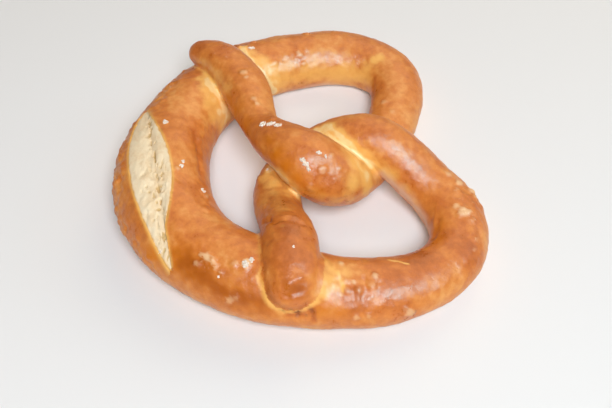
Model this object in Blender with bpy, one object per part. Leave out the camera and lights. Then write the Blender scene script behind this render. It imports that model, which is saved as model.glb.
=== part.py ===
# Soft pretzel: one rope of dough, laid in two loops, twisted, its arms pressed on the belly.
# Seen from above, +X runs from the left loop to the right one, and +Y from the belly to the
# crossing of the loops. The underside lies flat on z = 0.
import bpy
import bmesh
import numpy as np

MM = 0.001

# Section of the rope, a round strand that has sagged in the oven
SQUASH = 0.86          # height of a strand over its width
SEAT = 0.80            # centre of a lying strand over the tray, in half heights
SIDES = 24
RING_STEP = 5.0 * MM
CAP_RINGS = 5
SPACING_POWER = 0.7    # how the stops' distances set the pace of the smooth curve

# Where the centre of the rope passes, as the baker shaped it: (across, along, width, lift).
# Lift is how far the strand is held over the tray by what it crosses. All in mm.
LEFT_ARM = [
    (-72.0, -30.0, 12.5, 20.8),     # tip, pressed on the shoulder
    (-67.0, -25.0, 16.0, 20.0),
    (-55.0, -18.5, 19.0, 18.0),
    (-37.0, -15.0, 18.0, 17.5),
    (-19.0, -13.0, 15.0, 19.5),
]
TWIST_OVER = [
    (-1.0, -2.0, 23.5, 18.0),       # fat of the arm, over the right strand
    (4.5, 8.0, 25.0, 10.5),
    (-0.5, 19.0, 20.0, 5.0),
    (-15.0, 32.0, 19.0, 0.5),       # under the right strand
]
LEFT_LOOP = [
    (-46.0, 49.5, 22.5, 0.0),
    (-64.0, 48.5, 24.0, 0.0),
    (-76.5, 32.0, 26.0, 0.0),
    (-78.0, 12.0, 27.0, 0.0),
    (-73.5, -12.0, 28.5, 0.0),
]
BELLY = [
    (-58.0, -33.5, 31.2, 0.0),
    (-37.0, -48.0, 33.5, 0.0),
    (-14.0, -55.0, 37.0, 0.0),      # thickest, under the slash
    (7.0, -54.5, 36.0, 0.0),
    (26.5, -45.0, 33.0, 0.0),
]
RIGHT_LOOP = [
    (42.5, -26.0, 31.5, 0.0),
    (53.0, 0.0, 27.5, 0.0),
    (55.0, 22.0, 24.5, 0.0),
    (45.5, 45.0, 22.0, 0.0),
    (26.5, 52.3, 22.7, 0.0),
]
TWIST_UNDER = [
    (8.0, 45.0, 21.5, 4.6),
    (-8.0, 27.0, 21.0, 15.5),       # over the left strand
    (-13.0, 13.0, 18.0, 13.5),
    (-10.5, -1.5, 18.0, 7.0),
    (-3.0, -10.5, 18.0, 3.5),        # under the fat of the left arm
]
RIGHT_ARM = [
    (8.0, -13.0, 18.5, 4.0),
    (21.0, -13.5, 18.0, 8.5),
    (35.5, -14.0, 20.5, 13.5),
    (49.0, -16.0, 20.0, 14.5),
    (54.0, -16.5, 19.0, 12.5),      # tip, pressed on the right shoulder
]
ROPE = LEFT_ARM + TWIST_OVER + LEFT_LOOP + BELLY + RIGHT_LOOP + TWIST_UNDER + RIGHT_ARM

# The slash, one straight stroke of the blade along the belly that opened in the oven
SLASH_FROM = (-43.0 * MM, -57.5 * MM)
SLASH_TO = (36.5 * MM, -57.0 * MM)
SLASH_OUTER = 9.6 * MM   # from the stroke to the lip on the belly's outer side
SLASH_INNER = 5.9 * MM   # and to the lip on its inner side
SLASH_INNER_END = 0.83   # share of the stroke at which the inner side has closed
SLASH_OUTER_LEAN = 0.88  # under 1 the widest place lies nearer the stroke's start
SLASH_INNER_LEAN = 1.2
SLASH_DEPTH = 3.0 * MM
SLASH_BLUNT = 0.75       # 1 tapers the ends like a sine, less is blunter
SLASH_STEPS = 14
SLASH_EDGE = 0.5 * MM    # least half width, at the inner side's closed end
LIP_OVERSHOOT = 1.5      # the cutter's sides run on past the lips by this factor
SLASH_CLEAR = 9.0 * MM   # the cutter's back over the crust

TRAY_HALF = 0.2        # half side of the block that cuts the underside flat
CRUST = (0.60, 0.22, 0.055, 1.0)


def clear_scene():
    for item in list(bpy.data.objects):
        bpy.data.objects.remove(item, do_unlink=True)


def natural_spline(knots, rows, at):
    """Natural cubic curve through rows at the knots, and its slope, read at each of at."""
    gap = np.diff(knots)[:, None]
    rise = np.diff(rows, axis=0) / gap
    count = len(knots)
    system = np.eye(count)
    right = np.zeros_like(rows)
    for i in range(1, count - 1):
        system[i, i - 1] = gap[i - 1, 0]
        system[i, i] = 2 * (gap[i - 1, 0] + gap[i, 0])
        system[i, i + 1] = gap[i, 0]
        right[i] = 6 * (rise[i] - rise[i - 1])
    bend = np.linalg.solve(system, right)
    span = np.clip(np.searchsorted(knots, at, side="right") - 1, 0, count - 2)
    wide = gap[span]
    ahead = (knots[span + 1] - at)[:, None]
    behind = (at - knots[span])[:, None]
    value = (bend[span] * ahead**3 + bend[span + 1] * behind**3) / (6 * wide)
    value += (rows[span] / wide - bend[span] * wide / 6) * ahead
    value += (rows[span + 1] / wide - bend[span + 1] * wide / 6) * behind
    slope = (bend[span + 1] * behind**2 - bend[span] * ahead**2) / (2 * wide)
    slope += rise[span] - (bend[span + 1] - bend[span]) * wide / 6
    return value, slope


def rope_centres():
    """Centres, radii and slopes along the rope, at even steps, in a frame where z is not
    squashed yet, so that every strand is round."""
    stops = np.array(ROPE) * MM
    radius = stops[:, 2] / 2
    height = SEAT * radius + stops[:, 3] / SQUASH
    rows = np.column_stack([stops[:, 0], stops[:, 1], height, radius])
    hops = np.linalg.norm(np.diff(rows[:, :3], axis=0), axis=1) ** SPACING_POWER
    knots = np.concatenate([[0.0], np.cumsum(hops)])
    fine = np.linspace(0.0, knots[-1], 4000)
    path, _ = natural_spline(knots, rows, fine)
    walked = np.concatenate([[0.0], np.cumsum(np.linalg.norm(np.diff(path[:, :3], axis=0), axis=1))])
    rings = int(round(walked[-1] / RING_STEP)) + 1
    even = np.interp(np.linspace(0.0, walked[-1], rings), walked, fine)
    return natural_spline(knots, rows, even)


def ring(centre, along, radius):
    """One ring of points square to the direction along."""
    side = np.cross(along, (0.0, 0.0, 1.0))
    side /= np.linalg.norm(side)
    over = np.cross(side, along)
    turn = np.linspace(0.0, 2 * np.pi, SIDES, endpoint=False)[:, None]
    return centre + radius * (np.cos(turn) * side + np.sin(turn) * over)


def cap(centre, along, radius, flare, outward):
    """Rings that close a tip with a ball, from where the ball meets the strand."""
    start = np.arcsin(-flare * outward)
    lean = np.linspace(start, np.pi / 2, CAP_RINGS + 1)[1:-1]
    rings = [ring(centre + outward * along * radius * np.sin(a), along, radius * np.cos(a)) for a in lean]
    return rings, centre + outward * along * radius


def rope_rings():
    """All rings from one tip to the other, and the two poles, still unsquashed."""
    path, slope = rope_centres()
    pace = np.linalg.norm(slope[:, :3], axis=1)
    along = slope[:, :3] / pace[:, None]
    flare = slope[:, 3] / pace
    rings = []
    for centre, way, grow in zip(path, along, flare):
        # the skin round a row of balls touches each a little behind where they grow
        touch = centre[:3] - way * centre[3] * grow
        rings.append(ring(touch, way, centre[3] * np.sqrt(1 - grow**2)))
    first, start = cap(path[0, :3], along[0], path[0, 3], flare[0], -1)
    last, end = cap(path[-1, :3], along[-1], path[-1, 3], flare[-1], 1)
    return first[::-1] + rings + last, start, end


def crust_height(path, x, y):
    """Height of the crust over the place x, y, or of the strand's flank just outside it."""
    depth = path[:, 3] ** 2 - (path[:, 0] - x) ** 2 - (path[:, 1] - y) ** 2
    nearest = depth.argmax()
    return SQUASH * (path[nearest, 2] + np.sqrt(max(depth[nearest], 0.0)))


def new_object(name, points, faces):
    mesh = bpy.data.meshes.new(name)
    mesh.from_pydata([tuple(p) for p in points], [], faces)
    body = bmesh.new()
    body.from_mesh(mesh)
    bmesh.ops.recalc_face_normals(body, faces=body.faces)
    body.to_mesh(mesh)
    body.free()
    item = bpy.data.objects.new(name, mesh)
    bpy.context.scene.collection.objects.link(item)
    return item


def tube_faces(rings, sides):
    """Quads between rings that follow each other, sides points each."""
    faces = []
    for i in range(rings - 1):
        for j in range(sides):
            k = (j + 1) % sides
            faces.append((i * sides + j, i * sides + k, (i + 1) * sides + k, (i + 1) * sides + j))
    return faces


def make_rope(middle):
    """The rope as one closed skin that still runs through itself where strands cross."""
    rings, start, end = rope_rings()
    points = np.concatenate(rings + [[start], [end]])
    points[:, 2] *= SQUASH
    points -= middle
    faces = tube_faces(len(rings), SIDES)
    pole = len(rings) * SIDES
    last = pole - SIDES
    for j in range(SIDES):
        k = (j + 1) % SIDES
        faces.append((pole, k, j))
        faces.append((pole + 1, last + j, last + k))
    return new_object("pretzel", points, faces)


def make_slash(middle):
    """Wedge that opens the slash, its lower edge SLASH_DEPTH under the crust at most."""
    path, _ = rope_centres()
    points = []
    for t in np.linspace(0.0, 1.0, SLASH_STEPS + 1)[1:-1]:
        open_by = np.sin(np.pi * t) ** SLASH_BLUNT
        outer_by = np.sin(np.pi * t ** SLASH_OUTER_LEAN) ** SLASH_BLUNT
        inner_by = np.sin(np.pi * min(t / SLASH_INNER_END, 1.0) ** SLASH_INNER_LEAN)
        x = SLASH_FROM[0] + t * (SLASH_TO[0] - SLASH_FROM[0])
        y = SLASH_FROM[1] + t * (SLASH_TO[1] - SLASH_FROM[1])
        crust = crust_height(path, x, y)
        edge = np.array([x, y, crust - SLASH_DEPTH * open_by])
        left, right = (
            np.array([x, lip_y, crust_height(path, x, lip_y)])
            for lip_y in (y - SLASH_OUTER * outer_by, y + SLASH_INNER * inner_by + SLASH_EDGE)
        )
        back = np.array([x, y, crust + SLASH_CLEAR])
        points += [edge, edge + LIP_OVERSHOOT * (left - edge), back, edge + LIP_OVERSHOOT * (right - edge)]
    for place in (SLASH_FROM, SLASH_TO):
        points.append(np.array([place[0], place[1], crust_height(path, *place) + SLASH_CLEAR / 2]))
    points = np.array(points) - middle
    count = SLASH_STEPS - 1
    faces = tube_faces(count, 4)
    first, last = 4 * count, 4 * count + 1
    for j in range(4):
        k = (j + 1) % 4
        faces.append((first, k, j))
        faces.append((last, 4 * count - 4 + j, 4 * count - 4 + k))
    return new_object("slash_cutter", points, faces)


def make_tray():
    """Block under z = 0 that cuts the underside flat."""
    bpy.ops.mesh.primitive_cube_add(size=2 * TRAY_HALF, location=(0.0, 0.0, -TRAY_HALF))
    item = bpy.context.object
    item.name = "tray_cutter"
    return item


def cut(body, cutter, joins_itself):
    """Exact cut of cutter from body; joins_itself also unites strands that cross."""
    step = body.modifiers.new(cutter.name, "BOOLEAN")
    step.operation = "DIFFERENCE"
    step.solver = "EXACT"
    step.use_self = joins_itself
    step.object = cutter
    cutter.hide_render = True
    cutter.display_type = "WIRE"


def crust_material():
    material = bpy.data.materials.new("crust")
    material.use_nodes = True
    shader = material.node_tree.nodes["Principled BSDF"]
    shader.inputs["Base Color"].default_value = CRUST
    shader.inputs["Roughness"].default_value = 0.35
    shader.inputs["Metallic"].default_value = 0.0
    return material


def frame_middle():
    """Middle of the rope's outline seen from above, which becomes the origin."""
    points = np.concatenate(rope_rings()[0])
    middle = (points.min(axis=0) + points.max(axis=0)) / 2
    middle[2] = 0.0
    return middle


clear_scene()
middle = frame_middle()
pretzel = make_rope(middle)
pretzel.data.materials.append(crust_material())
cut(pretzel, make_tray(), True)
cut(pretzel, make_slash(middle), False)
pretzel.data.shade_smooth()
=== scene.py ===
import bmesh
import bpy
import math
from itertools import product

import numpy as np
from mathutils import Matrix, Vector


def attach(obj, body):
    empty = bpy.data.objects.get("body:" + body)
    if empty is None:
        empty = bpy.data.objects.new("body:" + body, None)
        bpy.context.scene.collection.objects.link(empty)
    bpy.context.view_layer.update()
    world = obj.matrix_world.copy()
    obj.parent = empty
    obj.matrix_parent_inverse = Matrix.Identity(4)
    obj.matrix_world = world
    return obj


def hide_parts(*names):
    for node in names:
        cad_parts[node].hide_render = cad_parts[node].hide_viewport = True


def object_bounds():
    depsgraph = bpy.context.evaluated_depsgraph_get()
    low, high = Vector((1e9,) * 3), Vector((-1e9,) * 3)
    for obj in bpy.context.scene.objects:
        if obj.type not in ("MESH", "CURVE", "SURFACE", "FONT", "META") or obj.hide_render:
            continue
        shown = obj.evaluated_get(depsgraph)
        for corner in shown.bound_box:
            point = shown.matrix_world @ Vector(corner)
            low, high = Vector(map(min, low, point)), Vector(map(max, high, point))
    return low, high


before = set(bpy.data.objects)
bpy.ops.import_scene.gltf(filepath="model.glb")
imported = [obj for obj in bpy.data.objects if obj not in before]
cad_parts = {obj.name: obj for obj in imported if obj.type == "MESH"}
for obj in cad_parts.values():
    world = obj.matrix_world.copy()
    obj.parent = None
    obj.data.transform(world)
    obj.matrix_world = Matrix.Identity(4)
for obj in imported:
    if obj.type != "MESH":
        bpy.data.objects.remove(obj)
cadLow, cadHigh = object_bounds()
mm = 0.001


def rampBetween(low, high, value):
    # smooth 0 to 1 as value goes from low to high
    t = np.clip((value - low) / (high - low), 0.0, 1.0)
    return t * t * (3 - 2 * t)


def makeNoise(seed, cells=32):
    # smooth noise from about -1 to 1, made from random slopes on a grid
    slopes = np.random.default_rng(seed).normal(size=(cells, cells, cells, 3))
    slopes /= np.linalg.norm(slopes, axis=3, keepdims=True)

    def noise(points, size):
        spot = points / size
        cell = np.floor(spot).astype(int)
        part = spot - cell
        fade = part ** 3 * (part * (part * 6 - 15) + 10)
        total = np.zeros(len(points))
        for corner in product((0, 1), repeat=3):
            corner = np.array(corner)
            x, y, z = ((cell + corner) % cells).T
            weight = np.where(corner, fade, 1 - fade).prod(axis=1)
            total += weight * ((part - corner) * slopes[x, y, z]).sum(axis=1)
        return total * 1.7      # brings it to about -1 to 1

    return noise


lumpNoise = makeNoise(3)
skinNoise = makeNoise(11)
tornNoise = makeNoise(27)


def layered(noise, points, size, fall=0.5):
    # noise with finer and weaker noise on top, which is read 7.3 mm further on
    return noise(points, size) + noise(points + 7.3, size / 2) * fall


def fading(away, width):
    # 1 at no distance, falling off softly over the width
    return np.exp(-(away / width) ** 2)


def setFloats(mesh, name, values):
    layer = mesh.attributes.new(name, "FLOAT", "POINT")
    layer.data.foreach_set("value", np.asarray(values, np.float32))


def pointsOf(mesh):
    flat = np.empty(len(mesh.vertices) * 3, np.float32)
    mesh.vertices.foreach_get("co", flat)
    return flat.reshape(-1, 3).astype(float) / mm


def movePoints(mesh, points):
    mesh.vertices.foreach_set("co", (points * mm).astype(np.float32).ravel())
    mesh.update()


def gridMesh(name, points, rows, columns):
    # closed slab: the first half of the points is its top, the second its underside
    quads = []
    half = rows * columns
    for i in range(rows - 1):
        for j in range(columns - 1):
            a = i * columns + j
            quads.append((a, a + columns, a + columns + 1, a + 1))
            quads.append((half + a, half + a + 1, half + a + columns + 1, half + a + columns))
    rim = [i * columns for i in range(rows)]
    rim += [(rows - 1) * columns + j for j in range(1, columns)]
    rim += [i * columns + columns - 1 for i in range(rows - 2, -1, -1)]
    rim += list(range(columns - 2, 0, -1))
    for a, b in zip(rim, rim[1:] + rim[:1]):
        quads.append((b, a, half + a, half + b))
    mesh = bpy.data.meshes.new(name)
    mesh.from_pydata((points * mm).tolist(), [], quads)
    return mesh


def addPiece(name, mesh, material):
    piece = bpy.data.objects.new(name, mesh)
    bpy.context.scene.collection.objects.link(piece)
    mesh.materials.clear()
    mesh.materials.append(material)
    mesh.shade_smooth()
    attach(piece, "root")
    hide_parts("pretzel")
    return piece


# the rope

# where its centre passes, as in the solid: across, along, width and lift, in mm
ropeStops = [
    (-72, -30, 12.5, 20.8), (-67, -25, 16, 20), (-55, -18.5, 19, 18),                   # left arm
    (-37, -15, 18, 17.5), (-19, -13, 15, 19.5),
    (-1, -2, 23.5, 18), (4.5, 8, 25, 10.5), (-0.5, 19, 20, 5), (-15, 32, 19, 0.5),      # twist
    (-46, 49.5, 22.5, 0), (-64, 48.5, 24, 0), (-76.5, 32, 26, 0),                       # left loop
    (-78, 12, 27, 0), (-73.5, -12, 28.5, 0),
    (-58, -33.5, 31.2, 0), (-37, -48, 33.5, 0), (-14, -55, 37, 0),                      # belly
    (7, -54.5, 36, 0), (26.5, -45, 33, 0),
    (42.5, -26, 31.5, 0), (53, 0, 27.5, 0), (55, 22, 24.5, 0), (45.5, 45, 22, 0),       # right loop
    (26.5, 52.3, 22.7, 0),
    (8, 45, 21.5, 4.6), (-8, 27, 21, 15.5), (-13, 13, 18, 13.5), (-10.5, -1.5, 18, 7),  # twist
    (-3, -10.5, 18, 3.5),
    (8, -13, 18.5, 4), (21, -13.5, 18, 8.5), (35.5, -14, 20.5, 13.5),                   # right arm
    (49, -16, 20, 14.5), (54, -16.5, 19, 12.5),
]
ropeShape = {
    "squash": 0.86,     # height over width
    "seat": 0.8,        # centre of a lying strand over the tray, in half heights
    "pace": 0.7,        # how far the curve swings out between two stops
    "step": 1.0,        # mm between the balls that make up the rope
    "samples": 6000,    # places read along the whole curve to space the balls evenly
    "apart": 34.0,      # mm along the rope from where another strand begins
    "fuse": 1.6,        # mm over which two strands flow together
    "footRound": 2.2,   # mm, rounding where the flank meets the underside
    "leastSlope": 0.35,     # keeps a step onto the skin short where two strands meet
    # where two strands flow together more: place, radius, mm added to the fuse
    "blends": [((64, 2, 21), 9, 4.5), ((71, -1, 20), 7, 4.0)],
    "blendCore": 0.3,   # share of a blend's radius within which it is full
}


def smoothCurve(knots, rows, at):
    # natural cubic curve through the rows
    gap = np.diff(knots)[:, None]
    rise = np.diff(rows, axis=0) / gap
    count = len(knots)
    system, right = np.eye(count), np.zeros_like(rows)
    for i in range(1, count - 1):
        system[i, i - 1:i + 2] = gap[i - 1, 0], 2 * (gap[i - 1, 0] + gap[i, 0]), gap[i, 0]
        right[i] = 6 * (rise[i] - rise[i - 1])
    bend = np.linalg.solve(system, right)
    span = np.clip(np.searchsorted(knots, at, side="right") - 1, 0, count - 2)
    wide = gap[span]
    ahead, behind = (knots[span + 1] - at)[:, None], (at - knots[span])[:, None]
    value = (bend[span] * ahead ** 3 + bend[span + 1] * behind ** 3) / (6 * wide)
    value += (rows[span] / wide - bend[span] * wide / 6) * ahead
    return value + (rows[span + 1] / wide - bend[span + 1] * wide / 6) * behind


def layRope():
    # balls along the rope: x, y, z, radius in mm, in a space where each strand is round
    stops = np.array(ropeStops, float)
    radius = stops[:, 2] / 2
    height = ropeShape["seat"] * radius + stops[:, 3] / ropeShape["squash"]
    rows = np.column_stack([stops[:, :2], height, radius])
    hops = np.linalg.norm(np.diff(rows[:, :3], axis=0), axis=1) ** ropeShape["pace"]
    knots = np.concatenate([[0], np.cumsum(hops)])
    fine = np.linspace(0, knots[-1], ropeShape["samples"])
    path = smoothCurve(knots, rows, fine)
    walked = np.concatenate([[0], np.cumsum(np.linalg.norm(np.diff(path[:, :3], axis=0), axis=1))])
    even = np.interp(np.arange(0, walked[-1], ropeShape["step"]), walked, fine)
    balls = smoothCurve(knots, rows, even)
    stopsAt = np.interp(even, knots, np.arange(len(stops)))
    # its outline's middle lies over the solid's
    middle = ((balls[:, :2] - balls[:, 3:]).min(axis=0) + (balls[:, :2] + balls[:, 3:]).max(axis=0)) / 2
    offset = np.array((cadLow + cadHigh)[:2]) / 2 / mm - middle
    balls[:, :2] += offset
    return balls, stopsAt, offset


balls, ballStops, ropeOffset = layRope()
roundness = np.array([1, 1, 1 / ropeShape["squash"]])


def nearRope(points):
    # for points in the round space: gap, way out and level of the nearest strand, then of the
    # nearest other strand, and where along the rope the nearest one is
    centres, radii = balls[:, :3], balls[:, 3]
    count, batch = len(balls), 8000
    reach = int(ropeShape["apart"] / ropeShape["step"])
    gaps = np.empty((2, len(points)))
    ways = np.empty((2, len(points), 3))
    levels = np.empty((2, len(points)))
    places = np.empty(len(points))
    steps = np.arange(count)
    for start in range(0, len(points), batch):
        span = slice(start, start + batch)
        chunk = points[span]
        rows = np.arange(len(chunk))
        square = (chunk ** 2).sum(axis=1)[:, None] + (centres ** 2).sum(axis=1) - 2 * chunk @ centres.T
        away = np.sqrt(np.maximum(square, 0)) - radii
        for which in (0, 1):
            best = away.argmin(axis=1)
            inner = np.clip(best, 1, count - 2)
            before, here, after = (away[rows, inner + k] for k in (-1, 0, 1))
            bow = np.maximum(before - 2 * here + after, 1e-9)
            shift = np.clip((before - after) / (2 * bow), -1, 1)
            shift = np.where(np.isfinite(shift), shift, 0)
            low = np.clip(np.floor(inner + shift).astype(int), 0, count - 2)
            part = (inner + shift - low)[:, None]
            ball = balls[low] * (1 - part) + balls[low + 1] * part
            out = chunk - ball[:, :3]
            size = np.maximum(np.linalg.norm(out, axis=1), 1e-6)
            gaps[which, span] = size - ball[:, 3]
            ways[which, span] = out / size[:, None]
            levels[which, span] = ball[:, 2]
            if which == 0:
                places[span] = inner + shift
                away[np.abs(steps - best[:, None]) < reach] = 1e6
    return gaps, ways, levels, places


def doughGap(points):
    # gap to the dough's skin with strands flowing together, and its slope, in mm
    rounded = points * roundness
    gaps, ways, levels, places = nearRope(rounded)
    fuse = np.full(len(points), ropeShape["fuse"])
    for place, radius, more in ropeShape["blends"]:
        away = np.linalg.norm(points - place, axis=1) / radius
        fuse += more * (1 - rampBetween(ropeShape["blendCore"], 1.0, away))
    share = np.clip(0.5 + (gaps[1] - gaps[0]) / (2 * fuse), 0, 1)
    gap = gaps[1] * (1 - share) + gaps[0] * share - fuse * share * (1 - share)
    way = ways[1] * (1 - share)[:, None] + ways[0] * share[:, None]
    foot = ropeShape["footRound"]
    below = -rounded[:, 2]
    share = np.clip(0.5 + (gap - below) / (2 * foot), 0, 1)
    gap = below * (1 - share) + gap * share + foot * share * (1 - share)
    way = way * share[:, None]
    way[:, 2] -= 1 - share
    return gap, way, gaps, levels, places


def toSkin(points, times=3):
    # moves points onto the dough's skin
    for _ in range(times):
        gap, way = doughGap(points)[:2]
        stretch = np.maximum((way ** 2).sum(axis=1), ropeShape["leastSlope"])
        points = (points * roundness - way * (gap / stretch)[:, None]) / roundness
    return points


def outward(points):
    # unit normals of the dough's skin
    way = doughGap(points)[1] * roundness
    return way / np.linalg.norm(way, axis=1)[:, None]


print("rope laid:", len(balls), "balls")

slashShape = {
    "start": (-43.0, -57.5),    # the stroke of the blade, in the rope's own mm
    "end": (36.5, -57.0),
    "outer": 9.6,           # mm from the stroke to the lip on the belly's outer side
    "inner": 5.9,
    "innerEnd": 0.83,       # share of the stroke at which the inner side has closed
    "outerLean": 0.88,      # under 1 the widest place lies nearer the start
    "innerLean": 1.2,
    "blunt": 0.75,
    "edge": 0.5,
    "above": 9.0,           # mm over the tray, under which the slash cuts nothing
    "widest": 13.0,         # mm beside the stroke, past which there is no lip
    "bedDepth": 3.6,        # how far the crust is cut away under the crumb
    "lipWall": 1.3,         # mm over which the crust drops to that depth
}


def slashEnds():
    return [np.array(slashShape[name]) + ropeOffset for name in ("start", "end")]


def slashPlace(points):
    # how far along the stroke as a share of it, and mm beside it, less than 0 on the outer side
    start, end = slashEnds()
    along = (points[:, 0] - start[0]) / (end[0] - start[0])
    aside = points[:, 1] - start[1] - along * (end[1] - start[1])
    return along, aside


def slashHalf(along, outerSide):
    # mm from the stroke to the lip
    t = np.clip(along, 0.001, 0.999)
    outer = slashShape["outer"] * np.sin(np.pi * t ** slashShape["outerLean"]) ** slashShape["blunt"]
    share = np.clip(t / slashShape["innerEnd"], 0, 1) ** slashShape["innerLean"]
    inner = slashShape["inner"] * np.sin(np.pi * share)
    return np.where(outerSide, outer, inner + slashShape["edge"])


# the crust

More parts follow.
